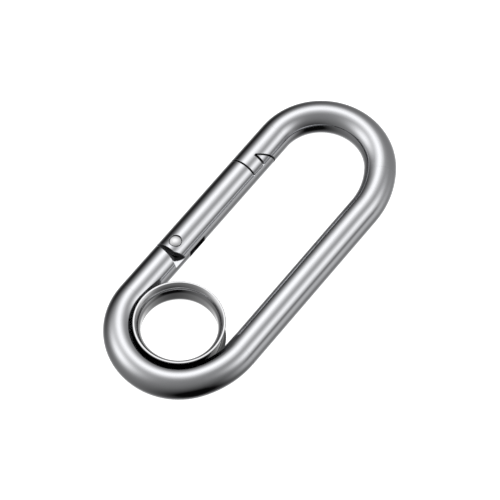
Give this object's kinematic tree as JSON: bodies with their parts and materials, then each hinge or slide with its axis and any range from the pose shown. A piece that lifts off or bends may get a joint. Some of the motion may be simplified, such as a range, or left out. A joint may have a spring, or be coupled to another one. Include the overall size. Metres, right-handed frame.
{
  "type": "spring snap hook",
  "caption": "Oval spring snap hook of polished round bar, with an inward-opening gate and a flared eyelet in the bend behind the hinge.",
  "frame": {"origin": "middle of the hook: the centre of its bounding box, on the flat mid-plane of the bar", "axes": "+X along the hook from the eyelet to the nose, +Y towards the gate leg, +Z square to the flat plane"},
  "size_m": [0.07, 0.0284, 0.006],
  "materials": {
    "polished_bar": "polished stainless steel bar, bright with a fine lengthwise polish",
    "rivet_steel": "stainless rivet, domed head, lightly satin",
    "turned_steel": "turned steel plunger, satin",
    "spring_wire": "drawn spring wire, satin grey",
    "pressed_eyelet": "pressed stainless eyelet, polished, with fine circular lines"
  },
  "bodies": {
    "hook": {"hook_body": "polished_bar", "eyelet": "pressed_eyelet"},
    "gate": {"gate": "polished_bar", "hinge_rivet": "rivet_steel", "gate_spring": "spring_wire"},
    "plunger": {"spring_plunger": "turned_steel"}
  },
  "joints": [
    {"name": "gate_hinge", "type": "hinge", "parent": "hook", "child": "gate", "pos_m": [-0.00855, 0.0112, 0], "axis": [0, 0, -1], "range_deg": [0, 38], "stiffness_Nm_per_rad": 0.015, "springref_deg": -74.48},
    {"name": "plunger_slide", "type": "slide", "parent": "gate", "child": "plunger", "axis": [1, 0, 0], "range_m": [0, 0.0008], "deforming": ["gate_spring"]}
  ],
  "couplings": [
    {"joint": "plunger_slide", "follows": "gate_hinge", "m_per_rad": 0.0012}
  ]
}
